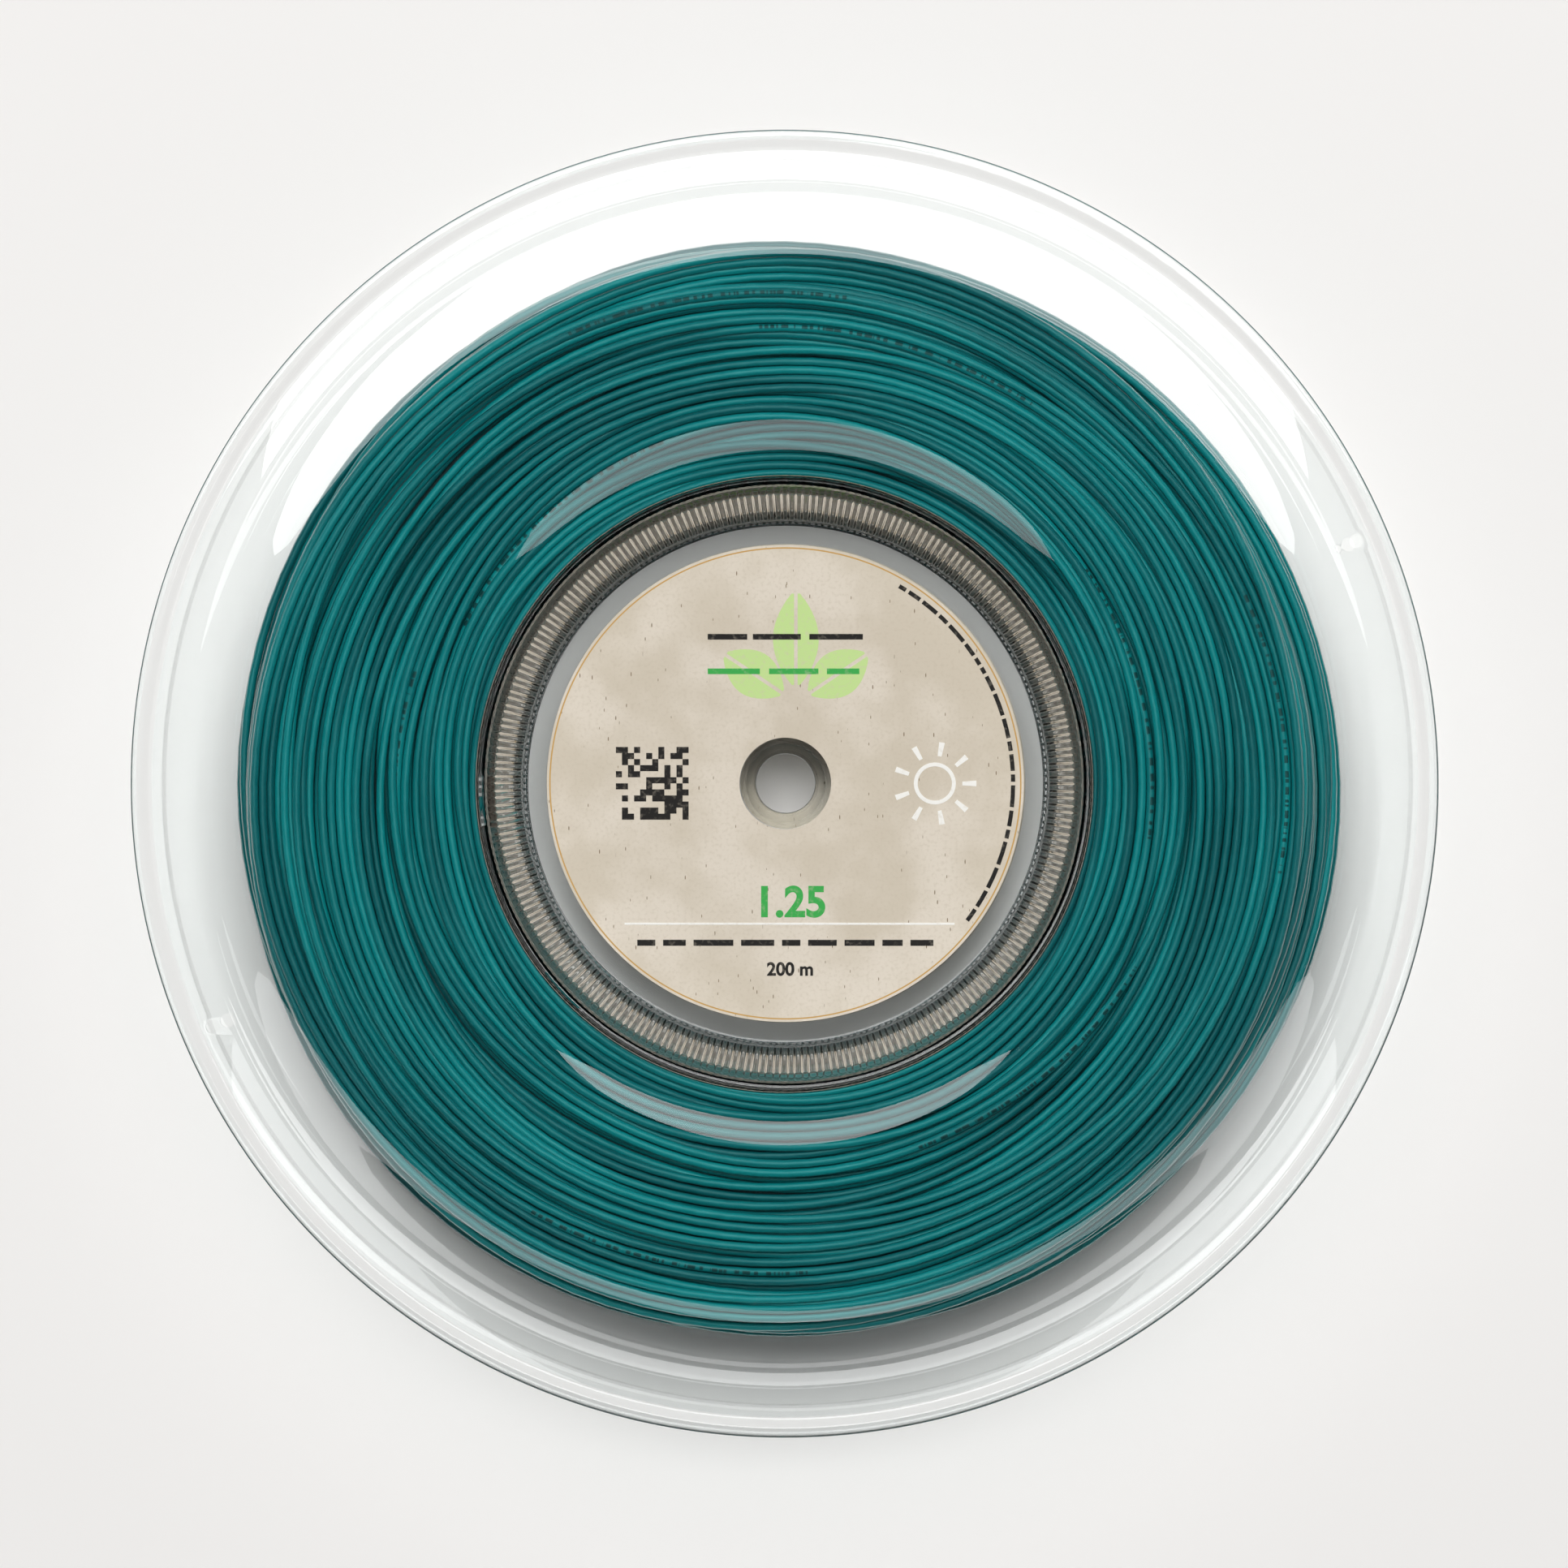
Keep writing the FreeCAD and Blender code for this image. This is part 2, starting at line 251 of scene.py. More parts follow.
def half_outline():
    """Outline of one half in (r, h), from the bore up the hub, over the flange and back inside."""
    reed_low = WEB_H + REED_END_GAP
    reed_high = EDGE_H - MOUTH_ROUND - REED_END_GAP
    wall = [(cup_radius(h), h, 0) for h in np.linspace(reed_low, reed_high, 21)]
    sleeve_inner = DRUM_RADIUS - SLEEVE_WALL
    cavity_top = EDGE_H + (sleeve_inner - CAVITY_TOP_GAP - MOUTH_RADIUS - CUP_SIDE) / CUP_TAN
    crown = (BEAD_WIDTH - BEAD_FLAT) / 2
    corners = [
        (BORE_RADIUS, WELD_GAP, 0.1 * MM),
        (BORE_RADIUS, COLLAR_STRAIGHT, 0.5 * MM),
        (FUNNEL_RADIUS, WEB_H, 0.7 * MM),
        (LABEL_RADIUS + 1.5 * MM, WEB_H, 0),
        (cup_radius(WEB_H), WEB_H, 0.5 * MM),
    ]
    corners += wall
    corners += [
        (MOUTH_RADIUS, EDGE_H, MOUTH_ROUND),
    ]
    corners += flange_face(0)
    corners += [
        (BAND_INNER, STEP_H, 0.5 * MM),
        (BAND_OUTER, BAND_H, 0.35 * MM),
        (BAND_OUTER + crown, HALF_WIDTH, 0.3 * MM),
        (REEL_RADIUS - crown, HALF_WIDTH, 0.2 * MM),
        (REEL_RADIUS, HALF_WIDTH, 0.75 * MM),
        (REEL_RADIUS, BAND_H - SHEET, 0.5 * MM),
        (BAND_OUTER, BAND_H - SHEET, 0.3 * MM),
        (BAND_INNER, STEP_H - SHEET, 0.5 * MM),
    ]
    corners += flange_face(-SHEET)[::-1]
    corners += [
        (DRUM_RADIUS, EDGE_H - SHEET, SLEEVE_FOOT_ROUND),
        (DRUM_RADIUS, WELD_GAP, 0.1 * MM),
        (sleeve_inner, WELD_GAP, 0.1 * MM),
        (sleeve_inner, cavity_top, 0.1 * MM),
        (cup_radius(cavity_top) + CUP_SIDE, cavity_top, 0.1 * MM),
        (cup_radius(WEB_STANDOFF) + CUP_SIDE, WEB_STANDOFF, 0.4 * MM),
        (COLLAR_RADIUS, WEB_STANDOFF, 0.3 * MM),
        (COLLAR_RADIUS, WELD_GAP, 0.1 * MM),
    ]
    return rounded(corners)


def reed_columns():
    """Angles of the mesh columns and how proud a reed stands at each, 0 in a groove to 1 on a crest.

    Each pair has a narrow and a wide reed; across a reed the height is half an ellipse.
    """
    per_reed = 6
    across = np.arange(per_reed) / per_reed
    crest = np.sqrt(1 - (2 * across - 1) ** 2)
    one_pair = np.concatenate([across * REED_SHARE, REED_SHARE + across * (1 - REED_SHARE)])
    angles = (np.arange(REED_PAIRS)[:, None] + one_pair).ravel() * 2 * np.pi / REED_PAIRS
    return angles, np.tile(np.concatenate([crest, crest]), REED_PAIRS)


def moulded_half(name, node, material, to_world):
    """One half as rings of vertices about the axis, one ring for each point of the outline.

    A ring's vertex is (r cos a, r sin a, h). On the cup wall r shrinks by the reed's height, which
    rises from nothing at both ends of the reed like a quarter circle. Rings off the wall keep every
    fourth column, and seven-sided faces join a fine ring to a coarse one.
    """
    outline = half_outline()
    angles, crest = reed_columns()
    keep = 4
    reed_low = WEB_H + REED_END_GAP
    reed_high = EDGE_H - MOUTH_ROUND - REED_END_GAP
    on_wall = np.abs(outline[:, 0] - cup_radius(outline[:, 1])) < 0.001 * MM
    on_wall &= (outline[:, 1] > reed_low - 0.01 * MM) & (outline[:, 1] < reed_high + 0.01 * MM)
    run = 1.2 * MM
    to_end = np.minimum(outline[:, 1] - reed_low, reed_high - outline[:, 1]).clip(0, run) / run
    proud = np.where(on_wall, np.sqrt(1 - (1 - to_end) ** 2), 0) * REED_HEIGHT
    columns = np.where(on_wall, len(angles), len(angles) // keep)
    first = np.concatenate([[0], np.cumsum(columns)])
    verts = []
    for (radius, height), fine, rise in zip(outline, on_wall, proud):
        a = angles if fine else angles[::keep]
        r = radius - rise * (crest if fine else 0)
        verts.append(np.stack([r * np.cos(a), r * np.sin(a), np.full(len(a), height)], 1))
    verts = to_world(np.concatenate(verts))
    faces = []
    for i in range(len(outline)):
        j = (i + 1) % len(outline)
        low, high, n_low, n_high = first[i], first[j], columns[i], columns[j]
        if n_low == n_high:
            k = np.arange(n_low)
            k2 = (k + 1) % n_low
            faces += np.stack([low + k, low + k2, high + k2, high + k], 1)[:, ::-1].tolist()
            continue
        coarse, fine, n = (low, high, n_low) if n_low < n_high else (high, low, n_high)
        k = np.arange(n)
        k2 = (k + 1) % n
        ring = [fine + (keep * k + step) % (keep * n) for step in range(keep, -1, -1)]
        six = np.stack([coarse + k, coarse + k2] + ring, 1)
        faces += (six if n_low > n_high else six[:, ::-1]).tolist()
    piece = place(name, verts, faces, material)
    cut_away(piece, half_cutters(to_world))
    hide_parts(node)


def prisms(outlines, low, high):
    """Upright solids between two heights over plan outlines that run anticlockwise."""
    verts, faces, first = [], [], 0
    for outline in outlines:
        outline = np.asarray(outline)
        n = len(outline)
        verts += [np.column_stack([outline, np.full(n, level)]) for level in (low, high)]
        k = first + np.arange(n)
        k2 = first + (np.arange(n) + 1) % n
        faces += [k[::-1].tolist(), (k + n).tolist()]
        faces += np.stack([k, k2, k2 + n, k + n], 1).tolist()
        first += 2 * n
    return np.concatenate(verts), faces


def half_cutters(to_world):
    """Solids to take out of one half: a tuck hole on either side and the notch for the inner end."""
    round_hole = np.arange(TUCK_HOLE_SIDES) * 2 * np.pi / TUCK_HOLE_SIDES
    centre = REEL_RADIUS - TUCK_HOLE_INSET
    holes = []
    for angle in (TUCK_HOLE_ANGLE, TUCK_HOLE_ANGLE + math.pi):
        middle = [centre * math.cos(angle), centre * math.sin(angle)]
        holes.append(middle + TUCK_HOLE_RADIUS * np.stack([np.cos(round_hole), np.sin(round_hole)], 1))
    inner, outer = DRUM_RADIUS - SLEEVE_WALL - OVERCUT, DRUM_RADIUS + OVERCUT
    half = NOTCH_WIDTH / 2
    corners = np.array([(inner, -half), (outer, -half), (outer, half), (inner, half)])
    c, s = math.cos(NOTCH_ANGLE), math.sin(NOTCH_ANGLE)
    notch = corners @ np.array([(c, s), (-s, c)])
    hole_verts, hole_faces = prisms(holes, BAND_H - SHEET - OVERCUT, STEP_H + OVERCUT)
    notch_verts, notch_faces = prisms([notch], -OVERCUT, NOTCH_HEIGHT)
    notch_faces = [[i + len(hole_verts) for i in face] for face in notch_faces]
    return to_world(np.concatenate([hole_verts, notch_verts])), hole_faces + notch_faces


def cut_away(piece, solids):
    """Takes the given solids out of a piece for good."""
    mesh = bpy.data.meshes.new("cutter")
    mesh.from_pydata(solids[0], [], solids[1])
    cutter = bpy.data.objects.new("cutter", mesh)
    bpy.context.scene.collection.objects.link(cutter)
    cut = piece.modifiers.new("cut", "BOOLEAN")
    cut.object, cut.solver = cutter, "EXACT"
    finished = piece.evaluated_get(bpy.context.evaluated_depsgraph_get())
    piece.data = bpy.data.meshes.new_from_object(finished)
    piece.modifiers.clear()
    piece.data.set_sharp_from_angle(angle=SHARP_ANGLE)
    bpy.data.objects.remove(cutter)


def front_place(verts):
    """From one half's own frame to the front half's place."""
    return verts + [0, 0, MIDDLE]


def rear_place(verts):
    """Half a turn about the line through the tuck holes, which turns a half over to the rear."""
    x, y, z = verts.T
    c, s = math.cos(2 * TUCK_HOLE_ANGLE), math.sin(2 * TUCK_HOLE_ANGLE)
    return np.stack([c * x + s * y, s * x - c * y, MIDDLE - z], 1)


# ---- Wound string ------------------------------------------------------------------------------
def wandering(rng, along, spacing, amount):
    """Smooth random drift: values at even spacing along the string, joined by straight runs."""
    knots = int(along[-1] / spacing) + 3
    return amount * np.interp(along / spacing, np.arange(knots), rng.standard_normal(knots))


def guide_height(rng, along):
    """Where the winding machine's guide stands: to and fro across the drum, with uneven turning points.

    A triangle wave of one string pitch each turn, pulled in near its ends by a random amount, plus drift.
    """
    reach = CROWN_H - SHEET - STRING_DIAMETER / 2
    pitch = GUIDE_PITCH * (1 + wandering(rng, along, 6, 0.05))
    travel = np.cumsum(pitch) / STEPS_PER_TURN / (2 * reach)
    wave = 1 - np.abs(travel % 2 - 1) * 2
    end = np.floor(travel + 0.5).astype(int)
    short = rng.gamma(1.2, TURNING_SHORTFALL / 1.2, end.max() + 1)[end]
    near_end = (np.abs(wave) * 2 - 1).clip(0, 1)
    height = np.sign(wave) * (np.abs(wave) * reach - near_end * short)
    return height + wandering(rng, along, 0.7, WANDER_SLOW) + wandering(rng, along, 0.27, WANDER_QUICK)


def drawn_tight(resting, before, slope):
    """Lowest path over the resting heights that never falls or climbs faster than the slope."""
    step = np.arange(len(resting)) * slope
    resting = np.maximum(resting, before - slope - step)
    falling = np.maximum.accumulate(resting + step) - step
    return np.maximum.accumulate((falling - step)[::-1])[::-1] + step


def wound_path():
    """Radius and height of the string's centre at every step of every turn.

    The string is laid turn on turn over a map of how low its centre can lie at each angle and
    height. The guide moves it to and fro across the drum; each turn slides into the nearest
    hollow and is drawn tight over whatever it lies on.
    """
    rng = np.random.default_rng(7)
    ahead = STEPS_PER_TURN // 4
    ease = 10
    top = CROWN_H - SHEET
    heights = np.linspace(-top, top, 621)
    cell = heights[1] - heights[0]
    floor = np.full((STEPS_PER_TURN, len(heights)), DRUM_RADIUS + STRING_DIAMETER / 2)
    total = (TURNS + 1) * STEPS_PER_TURN
    guide = guide_height(rng, np.arange(total) / STEPS_PER_TURN)
    kernel = np.exp(-0.5 * (np.arange(-ease, ease + 1) / 4.0) ** 2)
    kernel /= kernel.sum()
    angle = np.arange(STEPS_PER_TURN) * 2 * np.pi / STEPS_PER_TURN
    loose = LOOSENESS * np.exp(2.2 * (np.cos(angle - LOOSE_SIDE) - 1))
    radius = np.full(total, DRUM_RADIUS + STRING_DIAMETER / 2)
    height = guide.copy()
    reach = int(round(SLIDE_REACH / cell))
    sideways = np.arange(-reach, reach + 1)
    for turn in range(TURNS):
        start = turn * STEPS_PER_TURN
        step = start + np.arange(STEPS_PER_TURN + ahead)
        step = step[step < total]
        slot = step % STEPS_PER_TURN
        wall = EDGE_H - SHEET + flange_rise(np.median(floor))
        limit = wall - STRING_DIAMETER / 2 - WALL_CLEARANCE
        low_cell = int(np.ceil((top - limit) / cell))
        high_cell = len(heights) - 1 - low_cell
        here = np.rint((guide[step] + top) / cell).astype(int).clip(low_cell, high_cell)
        there = (here[:, None] + sideways).clip(low_cell, high_cell)
        effort = floor[slot[:, None], there] + SLIDE_EFFORT * ((there - here[:, None]) * cell) ** 2
        laid = heights[there[np.arange(len(step)), effort.argmin(1)]]
        behind = height[start - ease:start] if turn else np.full(ease, laid[0])
        laid = np.convolve(np.concatenate([behind, laid, np.full(ease, laid[-1])]), kernel, "valid")
        laid = laid.clip(-limit, limit)
        spot = (laid + top) / cell
        left = spot.astype(int).clip(0, len(heights) - 2)
        share = spot - left
        resting = floor[slot, left] * (1 - share) + floor[slot, left + 1] * share
        before = radius[start - 1] if turn else resting[0]
        tight = drawn_tight(resting, before, TIGHT_SLOPE)
        now = step[:STEPS_PER_TURN]
        radius[now] = tight[:STEPS_PER_TURN] + loose * rng.uniform(0.3, 1.7)
        height[now] = laid[:STEPS_PER_TURN]
        gap = np.abs(heights - height[now][:, None])
        over = radius[now][:, None] + np.sqrt((STRING_DIAMETER ** 2 - gap ** 2).clip(0))
        floor = np.maximum(floor, np.where(gap < SHOULDER * STRING_DIAMETER, over, 0))
    used = TURNS * STEPS_PER_TURN
    tuck = (np.arange(used - TUCK_STEPS, used) - (used - TUCK_STEPS)) / TUCK_STEPS
    radius[used - TUCK_STEPS:used] -= TUCK_DEPTH * tuck ** 2 * (3 - 2 * tuck)
    soft = np.exp(-0.5 * (np.arange(-8, 9) / 2.5) ** 2)
    soft /= soft.sum()
    radius = np.convolve(np.pad(radius[:used], 8, "edge"), soft, "valid")
    height = np.convolve(np.pad(height[:used], 8, "edge"), soft, "valid")
    return radius, height


def string_pieces(radius, height, material):
    """Tubes along the stretches of string that can be seen, in a few pieces from drum to outside.

    A tube's ring at a step is centre + half diameter * (cos b * outward + sin b * axial), for b
    round the circle. Stretches buried deeper than a few strands are left out.
    """
    step = np.arange(len(radius))
    angle = step * 2 * np.pi / STEPS_PER_TURN
    wall = EDGE_H - SHEET + flange_rise(radius)
    by_slot = radius.reshape(TURNS, STEPS_PER_TURN)
    outside = np.tile(by_slot[-OUTER_TURNS:].max(0), TURNS)
    seen = np.abs(height) > wall - SEEN_FROM_FACE * STRING_DIAMETER
    seen |= radius > outside - SEEN_FROM_OUTSIDE * STRING_DIAMETER
    seen |= radius < DRUM_RADIUS + SEEN_FROM_DRUM * STRING_DIAMETER
    spread = 6
    seen = np.convolve(seen.astype(int), np.ones(2 * spread + 1), "same") > 0
    around = np.arange(STRING_SIDES) * 2 * np.pi / STRING_SIDES
    outward = np.stack([np.cos(angle), np.sin(angle), 0 * angle], 1)
    centre = outward * radius[:, None] + np.stack([0 * angle, 0 * angle, MIDDLE + height], 1)
    axial = np.array([0, 0, 1.0])
    ring = np.cos(around)[:, None] * outward[:, None, :] + np.sin(around)[:, None] * axial
    tube = centre[:, None, :] + STRING_DIAMETER / 2 * ring
    distance = np.cumsum(np.hypot(np.diff(radius, prepend=radius[0]), radius * 2 * np.pi / STEPS_PER_TURN))
    names = ["inner_turns", "lower_middle_turns", "upper_middle_turns", "outer_turns"]
    share = np.cumsum(seen) / seen.sum()
    for index, name in enumerate(names):
        mine = seen & (share > index / len(names)) & (share <= (index + 1) / len(names))
        numbers = np.flatnonzero(mine)
        order = np.full(len(radius), -1)
        order[numbers] = np.arange(len(numbers))
        linked = numbers[:-1][np.diff(numbers) == 1]
        a = order[linked][:, None] * STRING_SIDES + np.arange(STRING_SIDES)
        b = order[linked][:, None] * STRING_SIDES + (np.arange(STRING_SIDES) + 1) % STRING_SIDES
        quads = np.stack([a, b, b + STRING_SIDES, a + STRING_SIDES], 2).reshape(-1, 4)[:, ::-1]
        starts = numbers[np.diff(numbers, prepend=-9) > 1]
        ends = numbers[np.diff(numbers, append=len(radius) + 9) > 1]
        cap_in = order[starts][:, None] * STRING_SIDES + np.arange(STRING_SIDES)
        cap_out = order[ends][:, None] * STRING_SIDES + np.arange(STRING_SIDES)[::-1]
        faces = quads.tolist() + cap_in.tolist() + cap_out.tolist()
        piece = place("string_" + name, tube[numbers].reshape(-1, 3), faces, material)
        along = np.repeat(distance[numbers], STRING_SIDES)
        turned = np.tile(np.arange(STRING_SIDES) / STRING_SIDES, len(numbers))
        uv = piece.data.uv_layers.new(name="along_string")
        corner = np.zeros(len(piece.data.loops), dtype=int)
        piece.data.loops.foreach_get("vertex_index", corner)
        uv.data.foreach_set("uv", np.stack([along[corner], turned[corner]], 1).ravel())
        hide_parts("string_winding")


def buried_turns(radius, material):
    """Ridged ring for the turns under the ones that are modelled.

    Its section is a rectangle whose outer side and two flat faces carry ridges one string apart, each the
    height of half a sine wave; the side against the drum stays plain, and the ridges drift around the ring
    by a slow sine.
    """
    outer = radius[-OUTER_TURNS * STEPS_PER_TURN:].reshape(OUTER_TURNS, STEPS_PER_TURN).max(0)
    inner_r = DRUM_RADIUS + 1.2 * STRING_DIAMETER
    half_width = CROWN_H - SHEET - CORE_DEPTH * STRING_DIAMETER
    depth = CORE_COVER * STRING_DIAMETER
    ridge = 0.3 * STRING_DIAMETER
    steps = np.arange(STEPS_PER_TURN)
    angle = steps * 2 * np.pi / STEPS_PER_TURN
    u = np.linspace(0, 1, 90, endpoint=False)
    side = np.minimum((u * 4).astype(int), 3)
    t = u * 4 - side
    outer_r = (outer - depth)[:, None]
    run = outer_r - inner_r
    r = np.select([side == 0, side == 1, side == 2, side == 3],
                  [inner_r + run * t, outer_r + 0 * t, outer_r - run * t, inner_r + 0 * run * t])
    h = np.select([side == 0, side == 1, side == 2, side == 3],
                  [half_width + 0 * t, half_width * (1 - 2 * t),
                   -half_width + 0 * t, half_width * (2 * t - 1)])
    along = np.where(side % 2 == 0, r, h)
    rise = ridge * np.abs(np.sin(np.pi * (along / STRING_DIAMETER + 0.3 * np.sin(2 * angle)[:, None])))
    r = r + rise * np.select([side == 1, side == 3], [1.0, 0.0], 0.0)
    h = np.broadcast_to(h, r.shape) + rise * np.select([side == 0, side == 2], [1.0, -1.0], 0.0)
    a = angle[:, None]
    verts = np.stack([r * np.cos(a), r * np.sin(a), MIDDLE + h], 2).reshape(-1, 3)
    i, j = np.meshgrid(steps, np.arange(len(u)), indexing="ij")
    i2, j2 = (i + 1) % len(steps), (j + 1) % len(u)
    n = len(u)
    faces = np.stack([i * n + j, i * n + j2, i2 * n + j2, i2 * n + j], 2).reshape(-1, 4)
    piece = place("string_buried_turns", verts, faces.tolist(), material)
    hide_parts("string_winding")


def inner_tail(material):
    """Cut inner end of the string: a tube that leaves the drum through the notch and curls inward.

    Its centre goes round by a straight share of the sweep while its radius falls by a smooth step.
    """
    low, high = [np.array(corner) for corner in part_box("string_inner_end")]
    half = STRING_DIAMETER / 2
    start, stop = np.array([low[0] + half, high[1] - half]), np.array([high[0] - half, low[1] + half])
    radii = np.hypot(*start), np.hypot(*stop)
    turned = math.atan2(start[1], start[0]) % (2 * np.pi), math.atan2(stop[1], stop[0]) % (2 * np.pi)
    t = np.linspace(0, 1, TAIL_STEPS + 1)
    r = radii[0] + (radii[1] - radii[0]) * t ** 2 * (3 - 2 * t)
    a = turned[0] + (turned[1] - turned[0]) * t
    z = (low[2] + high[2]) / 2
    centre = np.stack([r * np.cos(a), r * np.sin(a), 0 * t + z], 1)
    ahead = np.gradient(centre, axis=0)
    ahead /= np.linalg.norm(ahead, axis=1)[:, None]
    up = np.array([0, 0, 1.0])
    across = np.cross(ahead, up)
    size = half * np.sqrt(1 - (2 * t - 1) ** 40)
    size[[0, -1]] = 0.55 * half
    b = np.arange(TAIL_SIDES) * 2 * np.pi / TAIL_SIDES
    ring = np.cos(b)[:, None] * across[:, None] + np.sin(b)[:, None] * up
    verts = (centre[:, None] + size[:, None, None] * ring).reshape(-1, 3)
    k, m = np.meshgrid(np.arange(TAIL_STEPS), np.arange(TAIL_SIDES), indexing="ij")
    m2 = (m + 1) % TAIL_SIDES
    here, there = k * TAIL_SIDES, (k + 1) * TAIL_SIDES
    faces = np.stack([here + m, there + m, there + m2, here + m2], 2).reshape(-1, 4).tolist()
    first_ring, last_ring = np.arange(TAIL_SIDES), TAIL_STEPS * TAIL_SIDES + np.arange(TAIL_SIDES)
    faces += [first_ring.tolist(), last_ring[::-1].tolist()]
    piece = place("string_inner_tail", verts, faces, material)
    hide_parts("string_inner_end")


# ---- Print on the labels -----------------------------------------------------------------------
def bar(x, y, width, height):
    """Upright rectangle about a middle, in millimetres."""
    return np.array([(-1, -1), (1, -1), (1, 1), (-1, 1)]) * (width / 2, height / 2) + (x, y)


def arc_bar(radius, start, end, height, middle=(0, 0)):
    """Bar of a given height bent round a circle, from one angle in degrees to another."""
    a = np.radians(np.linspace(start, end, max(3, int(abs(end - start) / 3) + 2)))
    rim = np.stack([np.cos(a), np.sin(a)], 1)
    return np.concatenate([rim * (radius + height / 2), rim[::-1] * (radius - height / 2)]) + middle


def turned(outline, degrees, middle):
    """An outline turned about the origin and moved to a middle."""
    c, s = math.cos(math.radians(degrees)), math.sin(math.radians(degrees))
    return outline @ np.array([(c, s), (-s, c)]) + middle


def leaf(length, width, rib):
    """Two halves of a leaf either side of its rib: each edge is a sine bulge along the length."""
    t = np.linspace(0.02, 0.98, 16)
    edge = np.stack([rib + width * np.sin(np.pi * t) ** 0.8, length * (t - 0.5)], 1)
    rib_line = np.stack([np.full(16, rib), length * (t - 0.5)], 1)[::-1]
    right = np.concatenate([edge, rib_line])
    return [right, (right * (-1, 1))[::-1]]


def print_layout():
    """Generic print of one label: colour name, outlines in millimetres about the label's middle."""
    rng = np.random.default_rng(3)
    pale = []
    for degrees, length in ((0, 13.5), (56, 10.0), (-56, 10.0)):
        c, sn = math.cos(math.radians(degrees)), math.sin(math.radians(degrees))
        reach = 2.2 + length / 2
        middle = (1.5 - reach * sn, 11.5 + reach * c)
        pale += [turned(part, degrees, middle) for part in leaf(length, 3.0, 0.25)]
    black = [bar(x, 20.8, w, 0.8) for x, w in ((-8.2, 5.6), (-1.2, 6.8), (7.2, 7.6))]
    black += words(rng, -21, 21, -22.6, 0.85)
    cells = rng.random((12, 12)) < 0.5
    for row, column in np.argwhere(cells):
        black.append(bar(-23.6 + 0.86 * column, 4.75 - 0.86 * row, 0.86, 0.86))
    at = -37.0
    while at < 60:
        sweep = rng.uniform(1.6, 6.0)
        black.append(arc_bar(32.3, at, min(at + sweep, 60), 0.6))
        at += sweep + 0.9
    green = [bar(x, 15.9, w, 0.8) for x, w in ((-7.3, 7.4), (1.2, 7.0), (8.2, 4.6))]
    white = [bar(0.6, -19.9, 46.8, 0.3)]
    for half_turn in (0, 180):
        white.append(arc_bar(2.7, half_turn, half_turn + 180, 0.55, (21.2, 0)))
    white += [arc_bar(4.9, a - 4, a + 4, 2.0, (21.2, 0)) for a in range(0, 360, 40)]
    return {"pale_green": pale, "green": green, "black": black, "white": white}


def words(rng, left, right, y, height):
    """Bars of uneven length along a line, with gaps between them like a line of small print."""
    parts, at = [], left
    while at < right - 1:
        width = min(rng.uniform(2.2, 6.5), right - at)
        parts.append(bar(at + width / 2, y, width, height))
        at += width + 1.1
    return parts


def lettering(body, size, middle):
    """Generic figures as a flat mesh, in millimetres: the height of the figures is about 0.7 of size."""
    curve = bpy.data.curves.new("figures", "FONT")
    curve.body, curve.size, curve.align_x = body, size, "CENTER"
    curve.offset = 0.03 * size
    holder = bpy.data.objects.new("figures", curve)
    bpy.context.scene.collection.objects.link(holder)
    bpy.context.view_layer.update()
    mesh = bpy.data.meshes.new_from_object(holder.evaluated_get(bpy.context.evaluated_depsgraph_get()))
    verts = np.zeros(len(mesh.vertices) * 3)
    mesh.vertices.foreach_get("co", verts)
    verts = verts.reshape(-1, 3)[:, :2] + middle
    faces = [list(polygon.vertices) for polygon in mesh.polygons]
    bpy.data.objects.remove(holder)
    return verts, faces


def raised(flat, faces, low, high):
    """Closed plate of flat faces: the faces at the top, again at the bottom turned over, and a wall
    from top to bottom along each edge that only one face uses.
    """
    n = len(flat)
    edges = {(a, b) for face in faces for a, b in zip(face, face[1:] + face[:1])}
    walls = [[b, a, a + n, b + n] for a, b in sorted(edges) if (b, a) not in edges]
    bottom = [[i + n for i in reversed(face)] for face in faces]
    verts = [np.column_stack([flat, np.full(n, h)]) for h in (high, low)]
    return np.concatenate(verts), faces + bottom + walls


def label_print(side, to_world, inks):
    """Raised ink on one label, a piece for each colour."""
    low = LABEL_TOP_H - INK_HEIGHT
    figures = {"green": ("1.25", 6.0, (0.7, -18.8)), "black": ("200 m", 2.6, (0.7, -27.2))}
    for layer, (colour, outlines) in enumerate(print_layout().items(), 1):
        high = LABEL_TOP_H + layer * INK_HEIGHT
        verts, faces = prisms([np.asarray(outline) * MM for outline in outlines], low, high)
        if colour in figures:
            flat, flat_faces = lettering(*figures[colour])
            plate, plate_faces = raised(flat * MM, flat_faces, low, high)
            faces += [[i + len(verts) for i in face] for face in plate_faces]
            verts = np.concatenate([verts, plate])
        place(f"{side}_print_{colour}", to_world(verts), faces, inks[colour], False)


# ---- Materials ---------------------------------------------------------------------------------
def object_coords(tree, millimetres):
    """Object coordinates with one unit for every so many millimetres."""
    coords = add_node(tree, "ShaderNodeTexCoord")
    scale = 1 / (millimetres * MM)
    mapping = add_node(tree, "ShaderNodeMapping", Vector=coords.outputs["Object"], Scale=(scale,) * 3)
    return mapping.outputs[0]


def above(tree, value, start, end, low=0.0, high=1.0):
    """A value that goes from low to high as the input goes from start to end."""
    ramp = add_node(tree, "ShaderNodeMapRange", {"interpolation_type": "SMOOTHSTEP"}, Value=value)
    for name, number in (("From Min", start), ("From Max", end), ("To Min", low), ("To Max", high)):
        ramp.inputs[name].default_value = number
    return ramp.outputs[0]


